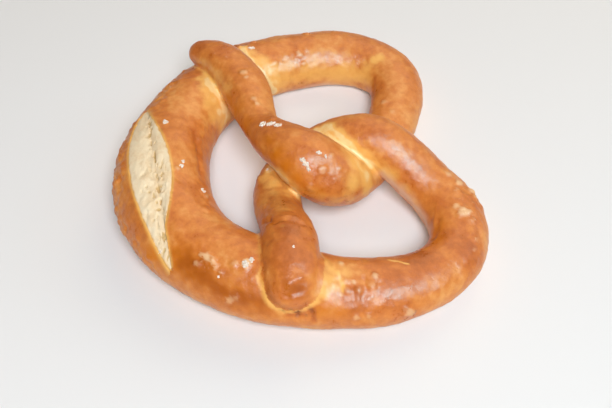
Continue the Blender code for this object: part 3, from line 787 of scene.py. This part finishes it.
def buildCrumb():
    look = crumbLook
    rows, columns = look["rows"], look["columns"]
    start, end = slashEnds()
    t, w = np.meshgrid(np.linspace(0.004, 0.996, rows), np.linspace(-1, 1, columns), indexing="ij")
    t, w = t.ravel(), w.ravel() * look["overlap"]
    aside = w * slashHalf(t, w < 0)
    ground = start + t[:, None] * (end - start)
    points = np.column_stack([ground[:, 0], ground[:, 1] + aside, np.full(len(t), 24.0)])
    for _ in range(14):     # straight down or up onto the crust's first skin
        gap, way = doughGap(points)[:2]
        slope = np.maximum(way[:, 2] / ropeShape["squash"], ropeShape["leastSlope"])
        points[:, 2] -= np.clip(gap / slope, -4, 4)
    normals = outward(points)
    share = np.clip(np.abs(w), 0, 1)
    along = t * np.linalg.norm(end - start)

    def drawnOut(size):
        # places for noise that is longer along the slash than across it
        length, width, slant = size
        return np.column_stack([along / length, (aside + slant * along) / width, t * 0 + 0.4])

    smooth = look["smoothShare"]
    torn = smooth + (1 - smooth) * rampBetween(*look["tornFrom"], t)
    mound = layered(lumpNoise, drawnOut(look["moundSize"]), 1.0)
    strand = layered(skinNoise, drawnOut(look["strandSize"]), 1.0)
    grain = layered(skinNoise, points, look["grainSize"])
    # the crumb opened along the tear and in patches beside it
    tear = np.array(look["tear"])
    beside = aside - np.interp(t, tear[:, 0], tear[:, 1]) + look["tearWaver"] * mound
    valley = fading(beside, look["valleyWidth"]) * rampBetween(0.0, 0.1, t)
    gaping = layered(tornNoise, drawnOut(look["poreSize"]), 1.0, 0.6)
    holes = rampBetween(*look["poreEdge"], gaping)
    atTear, inPatches, shut = look["gaping"]
    patches = torn * rampBetween(0.2, -0.1, mound)
    holes *= np.clip(valley * atTear + inPatches * patches - shut, 0, 1)
    holes *= 1 - share ** 3
    raised = np.zeros(len(t))
    for place, slope, width, height in look["bridges"]:
        bridge = fading(t - place - slope * aside + 0.004 * skinNoise(points, 2.5), width)
        holes *= 1 - bridge
        raised += height * bridge * (1 - share ** 2)
    across, lengthwise = look["hollow"]
    depth = look["lipDepth"]
    depth += (look["valleyDepth"] - depth) * (1 - share) ** across * np.sin(np.pi * t) ** lengthwise
    depth = depth + np.maximum(np.abs(w) - 1, 0) * look["tuck"]
    depth = depth - look["mounds"] * mound * (1 - share ** 3)
    depth = depth - look["strands"] * strand * torn - look["grain"] * grain
    depth = depth + look["pores"] * holes - raised
    top = points - normals * depth[:, None]
    under = points - normals * (depth + look["thick"])[:, None]
    mesh = gridMesh("crumb", np.concatenate([top, under]), rows, columns)
    lipGap = (1 - share) * slashHalf(t, w < 0)
    toast = np.exp(-np.maximum(lipGap + 0.3 * skinNoise(points, 2.0), 0) / look["toastReach"])
    for name, values in (("toast", toast), ("pore", holes), ("valley", valley)):
        setFloats(mesh, name, np.concatenate([values, values]))
    return mesh


crumbMesh = buildCrumb()
print("crumb torn:", len(crumbMesh.polygons), "faces")

# salt, whole grains and half melted ones

saltLook = {
    "seed": 8,
    "crystal": 1.05,        # mm, size of one crystal in a grain
    "flat": 0.55,           # height of a grain over its width
    "melted": 0.72,         # how much of a grain its melted lump fills
    "lumpPoints": 60,
    "uneven": (0.75, 1.0),  # how far out the lump's points and the crystals lie, as shares
    "spread": 0.85,         # how far out the crystals sit
    "corners": 14,          # points that make up a crystal
    "proud": 0.05,          # how far the lump stands out of the crust, over its width
    "crystals": (4, 2.2),   # so many crystals in a grain, and more for each square mm
    # place, size across and along in mm, and the way it is drawn out
    "grains": [
        ((-18.4, -45, 27), 2.3, 2.9, (1, 0.3, 0)), ((-3.2, -8.8, 32.6), 2.3, 3.9, (0.3, 1, 0)),
        ((-0.9, -6.2, 33.5), 2.2, 4.0, (0.4, 1, 0.2)), ((0.9, -3.9, 34.3), 1.8, 3.2, (0.4, 1, 0.2)),
        ((5.3, -41.2, 26.5), 1.2, 1.6, (1, 0, 0)), ((7.6, -42.2, 26.9), 1.4, 2.0, (0, 1, 0)),
        ((17.7, -35.6, 22), 1.4, 2.4, (0.3, 1, 0)), ((42.2, -54, 20.2), 1.5, 1.9, (1, 0, 0)),
        ((-64, -3.2, 23.3), 1.5, 3.2, (0.1, 1, 0)), ((57.2, -26.0, 23.8), 2.5, 3.2, (0.2, 1, 0)),
        ((56.4, -23.9, 24.1), 1.7, 2.0, (1, 0, 0)), ((20.2, 2.1, 33.2), 1.9, 2.9, (1, 0.3, 0)),
        ((22, 2.9, 32.0), 1.7, 2.8, (0.2, 1, 0)), ((23.4, 3.4, 31.0), 1.4, 1.9, (1, 0.2, 0)),
        ((18.8, 8.6, 33.9), 1.4, 2.5, (0.2, 1, 0)), ((20.2, 10.4, 33.2), 1.2, 1.6, (1, 0, 0)),
        ((58.3, -9, 31.2), 0.8, 0.9, (1, 0, 0)), ((5.8, -9.6, 16.6), 1.2, 1.6, (0, 1, 0)),
        ((58.1, -35.8, 20.9), 0.8, 1.1, (1, 0, 0)),
    ],
}


def addHull(builder, corners):
    made = bmesh.ops.convex_hull(builder, input=[builder.verts.new(c * mm) for c in corners])
    loose = [v for v in made["geom_interior"] if isinstance(v, bmesh.types.BMVert)]
    bmesh.ops.delete(builder, geom=loose, context="VERTS")


def buildSalt():
    rng = np.random.default_rng(saltLook["seed"])
    builder = bmesh.new()
    for place, across, along, way in saltLook["grains"]:
        base = crustPoints[((crustPoints - place) ** 2).sum(axis=1).argmin()]
        up = outward(base[None])[0]
        ahead = np.array(way, float) - up * (up @ way)
        ahead /= np.linalg.norm(ahead)
        sides = [np.cross(up, ahead) * across, ahead * along, up * across * saltLook["flat"]]
        turned = np.array(sides) / 2
        # the melted lump that holds the crystals together
        shape = rng.normal(size=(saltLook["lumpPoints"], 3))
        shape /= np.linalg.norm(shape, axis=1)[:, None]
        shape *= rng.uniform(*saltLook["uneven"], size=(len(shape), 1))
        middle = base + up * across * saltLook["proud"]
        addHull(builder, middle + shape @ turned * saltLook["melted"])
        few, more = saltLook["crystals"]
        for _ in range(int(round(few + more * across * along))):
            spot = rng.normal(size=3)
            spot *= rng.uniform(*saltLook["uneven"]) / np.linalg.norm(spot)
            spot[2] = abs(spot[2])
            edge = saltLook["crystal"] * rng.uniform(0.5, 1.2) * min(1.0, 0.45 + across / 3)
            corners = rng.uniform(-0.5, 0.5, size=(saltLook["corners"], 3))
            corners = corners * edge * rng.uniform(0.7, 1.3, size=3)
            addHull(builder, base + spot @ turned * saltLook["spread"] + corners)
    mesh = bpy.data.meshes.new("salt")
    builder.to_mesh(mesh)
    builder.free()
    return mesh


saltMesh = buildSalt()
print("salt strewn:", len(saltMesh.polygons), "faces")


# shader building

def addNode(tree, kind, **settings):
    item = tree.nodes.new(kind)
    for key, value in settings.items():
        setattr(item, key, value)
    return item


def feed(tree, value, socket):
    # a socket is linked, anything else is set
    if isinstance(value, bpy.types.NodeSocket):
        tree.links.new(value, socket)
    else:
        socket.default_value = value


def calc(tree, operation, first, second=0.0, clamp=False):
    item = addNode(tree, "ShaderNodeMath", operation=operation, use_clamp=clamp)
    feed(tree, first, item.inputs[0])
    feed(tree, second, item.inputs[1])
    return item.outputs[0]


def blendColour(tree, factor, first, second):
    item = addNode(tree, "ShaderNodeMix", data_type="RGBA")
    feed(tree, factor, item.inputs["Factor"])
    feed(tree, first, item.inputs[6])
    feed(tree, second, item.inputs[7])
    return item.outputs[2]


def layerColours(tree, colour, layers):
    # further colours over the first, each through its mask
    for mask, over in layers:
        colour = blendColour(tree, mask, colour, over)
    return colour


def mapRange(tree, value, low, high, newLow=0.0, newHigh=1.0):
    item = addNode(tree, "ShaderNodeMapRange", interpolation_type="SMOOTHSTEP")
    for socket, number in zip(item.inputs, (value, low, high, newLow, newHigh)):
        feed(tree, number, socket)
    return item.outputs[0]


def cloud(tree, where, scale, detail, roughness, distortion=0.0):
    item = addNode(tree, "ShaderNodeTexNoise")
    tree.links.new(where, item.inputs["Vector"])
    for name, value in (
        ("Scale", scale), ("Detail", detail), ("Roughness", roughness), ("Distortion", distortion),
    ):
        feed(tree, value, item.inputs[name])
    return item.outputs["Fac"]


def painted(tree, name):
    return addNode(tree, "ShaderNodeAttribute", attribute_name=name).outputs["Fac"]


def newGroup(name, inputs, outputs):
    tree = bpy.data.node_groups.new(name, "ShaderNodeTree")
    for label, value in inputs:
        socket = tree.interface.new_socket(label, in_out="INPUT", socket_type="NodeSocketFloat")
        socket.default_value = value
    for label in outputs:
        tree.interface.new_socket(label, in_out="OUTPUT", socket_type="NodeSocketFloat")
    return tree, addNode(tree, "NodeGroupInput"), addNode(tree, "NodeGroupOutput")


def makeMottle():
    # uneven baking: broad clouds with finer ones in them, and small specks
    tree, given, result = newGroup(
        "bakeMottle", [("Scale", 90.0), ("Fine", 0.35), ("Speck Scale", 900.0)], ["Cloud", "Speck"])
    where = addNode(tree, "ShaderNodeTexCoord").outputs["Object"]
    broad = cloud(tree, where, given.outputs["Scale"], 3, 0.55, 0.4)
    fine = cloud(tree, where, calc(tree, "MULTIPLY", given.outputs["Scale"], 6.5), 4, 0.6)
    fineShare = calc(tree, "MULTIPLY", calc(tree, "SUBTRACT", fine, 0.5), given.outputs["Fine"])
    tree.links.new(calc(tree, "ADD", broad, fineShare), result.inputs["Cloud"])
    speck = cloud(tree, where, given.outputs["Speck Scale"], 2, 0.5)
    tree.links.new(mapRange(tree, speck, 0.56, 0.72), result.inputs["Speck"])
    return tree


def makeGrain():
    # height of a fine skin: tight creases with pinholes between them
    tree, given, result = newGroup(
        "skinGrain", [("Scale", 1400.0), ("Creases", 0.5), ("Pinholes", 0.5)], ["Height"])
    where = addNode(tree, "ShaderNodeTexCoord").outputs["Object"]
    skin = cloud(tree, where, given.outputs["Scale"], 3, 0.6, 0.6)
    crease = calc(tree, "ABSOLUTE", calc(tree, "SUBTRACT", skin, 0.5))
    crease = calc(tree, "MULTIPLY", crease, given.outputs["Creases"])
    dots = addNode(tree, "ShaderNodeTexVoronoi")
    tree.links.new(where, dots.inputs["Vector"])
    feed(tree, calc(tree, "MULTIPLY", given.outputs["Scale"], 0.6), dots.inputs["Scale"])
    holes = mapRange(tree, dots.outputs["Distance"], 0.0, 0.22)
    holes = calc(tree, "MULTIPLY", holes, given.outputs["Pinholes"])
    tree.links.new(calc(tree, "ADD", crease, holes), result.inputs["Height"])
    return tree


mottleGroup, grainGroup = makeMottle(), makeGrain()


def placeGroup(tree, group, values):
    item = addNode(tree, "ShaderNodeGroup", node_tree=group)
    for name, value in values.items():
        feed(tree, value, item.inputs[name])
    return item


def newMaterial(name):
    material = bpy.data.materials.new(name)
    material.use_nodes = True
    tree = material.node_tree
    return material, tree, tree.nodes["Principled BSDF"]


def grainedMaterial(name, paint):
    # a material with its grain as a bump, and the mottle that breaks up its colours
    material, tree, shader = newMaterial(name)
    mottle = placeGroup(tree, mottleGroup, paint["mottle"])
    grain = placeGroup(tree, grainGroup, paint["grain"])
    bump = addNode(tree, "ShaderNodeBump")
    bump.inputs["Distance"].default_value = paint["grainHeight"]
    bump.inputs["Strength"].default_value = paint["grainStrength"]
    tree.links.new(grain.outputs["Height"], bump.inputs["Height"])
    tree.links.new(bump.outputs["Normal"], shader.inputs["Normal"])
    return material, tree, shader, mottle


crustPaint = {
    "dark": (0.42, 0.1, 0.012, 1),
    "baked": (0.58, 0.155, 0.024, 1),
    "brown": (0.69, 0.22, 0.036, 1),
    "light": (0.79, 0.33, 0.08, 1),
    "gold": (0.9, 0.47, 0.11, 1),
    "paleGold": (0.97, 0.76, 0.38, 1),
    "peel": (0.87, 0.56, 0.29, 1),
    # pale foot, partly dough that did not brown, partly a painted reflection of the pale floor
    "foot": (0.8, 0.5, 0.33, 1),
    "amber": (0.66, 0.18, 0.001, 1),
    "deepAmber": (0.38, 0.078, 0.001, 1),
    # painted shade inside the torn pits
    "pitShade": (0.2, 0.05, 0.014, 1),
    "stages": (0.03, 0.33, 0.52, 0.74),     # how pale dark, baked, brown and light are, from 0 to 1
    "paleness": 0.55,       # of the crust on the whole
    "unevenness": 0.9,
    "topBaking": 0.06,      # how much darker the tops are baked, and how much the dark mask darkens, with its darker baking and painted shade
    "spotBakeAndShade": 0.33,
    "amberShare": 0.9,
    "goldMottle": 0.45,     # how much the uneven baking breaks up the gold
    "flakeShare": 0.55,
    "footShare": 0.85,
    "roughness": 0.34,
    "footRough": 0.2,       # how much rougher the foot, the peeled and the unevenly baked crust are
    "peelRough": 0.1,
    "mottleRough": 0.3,
    "specular": 0.4,
    "mottle": {"Scale": 50.0, "Fine": 0.85, "Speck Scale": 1100.0},
    "grain": {"Scale": 1100.0, "Creases": 0.8, "Pinholes": 0.3},
    "grainHeight": 0.00024,     # m
    "grainStrength": 1.0,
}


def makeCrustMaterial():
    paint = crustPaint
    material, tree, shader, mottle = grainedMaterial("crust", paint)

    def share(value, part):
        # that part of a mask painted on the mesh, or of a socket
        if isinstance(value, str):
            value = painted(tree, value)
        return calc(tree, "MULTIPLY", value, part)

    uneven = calc(tree, "SUBTRACT", mottle.outputs["Cloud"], 0.5)
    # low is dark: tops are baked more, flanks less, and the dark mask darkens it with darker baking and
    # painted shade
    baking = calc(tree, "ADD", paint["paleness"], share(uneven, paint["unevenness"]))
    baking = calc(tree, "SUBTRACT", baking, share("baked", paint["topBaking"]))
    baking = calc(tree, "SUBTRACT", baking, share("dark", paint["spotBakeAndShade"]))
    stages = addNode(tree, "ShaderNodeValToRGB")
    ramp = stages.color_ramp
    ramp.elements[0].position = paint["stages"][0]
    ramp.elements[0].color = paint["dark"]
    ramp.elements[1].position = paint["stages"][3]
    ramp.elements[1].color = paint["light"]
    ramp.elements.new(paint["stages"][1]).color = paint["baked"]
    ramp.elements.new(paint["stages"][2]).color = paint["brown"]
    tree.links.new(baking, stages.inputs["Fac"])
    # the amber deepens where the dark mask is, with its darker baking and painted shade
    amber = blendColour(tree, painted(tree, "dark"), paint["amber"], paint["deepAmber"])
    golden = calc(tree, "ADD", painted(tree, "gold"), share(uneven, paint["goldMottle"]), clamp=True)
    specks = share(mottle.outputs["Speck"], paint["flakeShare"])
    peel = calc(tree, "ADD", painted(tree, "peel"), share("flake", specks))
    colour = layerColours(tree, stages.outputs["Color"], (
        (share("amber", paint["amberShare"]), amber),
        (mapRange(tree, golden, 0.08, 0.85), paint["gold"]),
        (mapRange(tree, golden, 0.8, 1.15), paint["paleGold"]),
        (mapRange(tree, painted(tree, "rim"), 0.15, 1.0), paint["gold"]),
        (mapRange(tree, peel, 0.1, 1.0), paint["peel"]),
        (share("foot", paint["footShare"]), paint["foot"]),
        (painted(tree, "pitShade"), paint["pitShade"]),
    ))
    tree.links.new(colour, shader.inputs["Base Color"])
    rough = calc(tree, "ADD", paint["roughness"], share("foot", paint["footRough"]))
    rough = calc(tree, "ADD", rough, share(peel, paint["peelRough"]))
    rough = calc(tree, "ADD", rough, share(uneven, paint["mottleRough"]), clamp=True)
    tree.links.new(rough, shader.inputs["Roughness"])
    shader.inputs["Specular IOR Level"].default_value = paint["specular"]
    return material


crumbPaint = {
    "pale": (0.9, 0.74, 0.5, 1),
    "cream": (0.83, 0.62, 0.37, 1),
    # painted shade in the torn openings
    "pore": (0.6, 0.41, 0.18, 1),
    "toast": (0.76, 0.4, 0.11, 1),
    "valleyShade": 0.55,
    "speckShare": 0.15,
    "roughness": (0.75, 0.95),
    "specular": 0.25,
    "mottle": {"Scale": 230.0, "Fine": 0.5, "Speck Scale": 1500.0},
    "grain": {"Scale": 1500.0, "Creases": 0.8, "Pinholes": 0.4},
    "grainHeight": 0.0001,
    "grainStrength": 0.6,
}


def makeCrumbMaterial():
    paint = crumbPaint
    material, tree, shader, mottle = grainedMaterial("crumb", paint)
    patches = mottle.outputs["Cloud"]
    colour = layerColours(tree, paint["cream"], (
        (mapRange(tree, patches, 0.25, 0.6), paint["pale"]),
        # painted shade along the sunken tear, and in the torn openings below
        (calc(tree, "MULTIPLY", painted(tree, "valley"), paint["valleyShade"]), paint["cream"]),
        (calc(tree, "MULTIPLY", mottle.outputs["Speck"], paint["speckShare"]), paint["cream"]),
        (mapRange(tree, painted(tree, "pore"), 0.05, 0.9), paint["pore"]),
        (mapRange(tree, painted(tree, "toast"), 0.3, 1.0), paint["toast"]),
    ))
    tree.links.new(colour, shader.inputs["Base Color"])
    tree.links.new(mapRange(tree, patches, 0.2, 0.8, *paint["roughness"]), shader.inputs["Roughness"])
    shader.inputs["Specular IOR Level"].default_value = paint["specular"]
    return material


saltPaint = {
    "cloudy": (0.8, 0.64, 0.47, 1),
    "white": (0.9, 0.85, 0.78, 1),
    "roughness": (0.3, 0.5),
    "mottle": {"Scale": 500.0, "Fine": 0.5, "Speck Scale": 2400.0},
    "grain": {"Scale": 2500.0, "Creases": 0.8, "Pinholes": 0.2},
    "grainHeight": 0.00006,
    "grainStrength": 0.6,
}


def makeSaltMaterial():
    paint = saltPaint
    material, tree, shader, mottle = grainedMaterial("salt", paint)
    colour = blendColour(tree, mottle.outputs["Cloud"], paint["cloudy"], paint["white"])
    tree.links.new(colour, shader.inputs["Base Color"])
    rough = mapRange(tree, mottle.outputs["Speck"], 0.0, 1.0, *paint["roughness"])
    tree.links.new(rough, shader.inputs["Roughness"])
    return material


addPiece("crust", crustMesh, makeCrustMaterial())
addPiece("crumb", crumbMesh, makeCrumbMaterial())
addPiece("salt", saltMesh, makeSaltMaterial())
saltMesh.shade_flat()

# floor, light and camera

viewLook = {
    "aim": (11.9, 4.9, 0),      # mm
    "turn": 78.2,
    "rise": 47.0,
    "distance": 380.0,          # mm
    "lens": 55.9,
}
lightLook = {
    # right, away and up in metres from the pretzel as the camera sees it, then size in metres,
    # watts, colour and whether it shows only in reflections
    "lamps": {
        "key": ((0.12, -0.72, 0.9), 0.6, 13.5, (0.91, 0.95, 1.0), False),
        "back": ((0.4, 0.88, 0.8), 0.9, 4.6, (1.0, 0.76, 0.5), False),
        "window": ((0.98, 0.42, 0.5), 0.6, 1.9, (0.7, 0.88, 1.0), False),
        "shine": ((0.48, -0.42, 0.79), 0.55, 18.5, (0.3, 0.82, 0.95), True),
        "glow": ((0.0, 0.9, 1.7), 2.6, 13.0, (0.95, 0.97, 1.0), True),
    },
    "sky": 0.12,
    "skyColour": (1.0, 0.9, 0.78, 1),
    "floor": (0.83, 0.825, 0.82, 1),
    "floorRoughness": 0.8,
    "floorSize": 6.0,       # m
}


def seenFrom(right, away, up):
    # a place in metres, told from where the camera stands
    turn = math.radians(viewLook["turn"])
    side = Vector((math.cos(turn), math.sin(turn), 0))
    ahead = Vector((-math.sin(turn), math.cos(turn), 0))
    return Vector(viewLook["aim"]) * mm + side * right + ahead * away + Vector((0, 0, up))


def buildStage():
    bpy.ops.mesh.primitive_plane_add(size=lightLook["floorSize"])
    floor = bpy.context.object
    floor.name = "floor"
    material, _, shader = newMaterial("floor")
    shader.inputs["Base Color"].default_value = lightLook["floor"]
    shader.inputs["Roughness"].default_value = lightLook["floorRoughness"]
    floor.data.materials.append(material)
    for name, (place, size, power, colour, glossOnly) in lightLook["lamps"].items():
        lamp = bpy.data.lights.new(name, "AREA")
        lamp.shape = "DISK"
        lamp.size = size
        lamp.energy = power
        lamp.color = colour
        item = bpy.data.objects.new(name, lamp)
        item.visible_diffuse = not glossOnly
        item.location = seenFrom(*place)
        item.rotation_mode = "QUATERNION"
        item.rotation_quaternion = (item.location - seenFrom(0, 0, 0)).to_track_quat("Z", "Y")
        bpy.context.scene.collection.objects.link(item)
    world = bpy.data.worlds.new("sky")
    world.use_nodes = True
    background = world.node_tree.nodes["Background"]
    background.inputs["Color"].default_value = lightLook["skyColour"]
    background.inputs["Strength"].default_value = lightLook["sky"]
    bpy.context.scene.world = world
    bpy.context.scene.view_settings.view_transform = "Standard"


def buildCamera():
    rise = math.radians(viewLook["rise"])
    distance = viewLook["distance"] * mm
    lens = bpy.data.cameras.new("camera")
    lens.lens = viewLook["lens"]
    lens.clip_start = 0.01
    camera = bpy.data.objects.new("camera", lens)
    camera.location = seenFrom(0, -distance * math.cos(rise), distance * math.sin(rise))
    camera.rotation_mode = "QUATERNION"
    camera.rotation_quaternion = (seenFrom(0, 0, 0) - camera.location).to_track_quat("-Z", "Y")
    bpy.context.scene.collection.objects.link(camera)
    bpy.context.scene.camera = camera


buildStage()
buildCamera()
print("stage set")
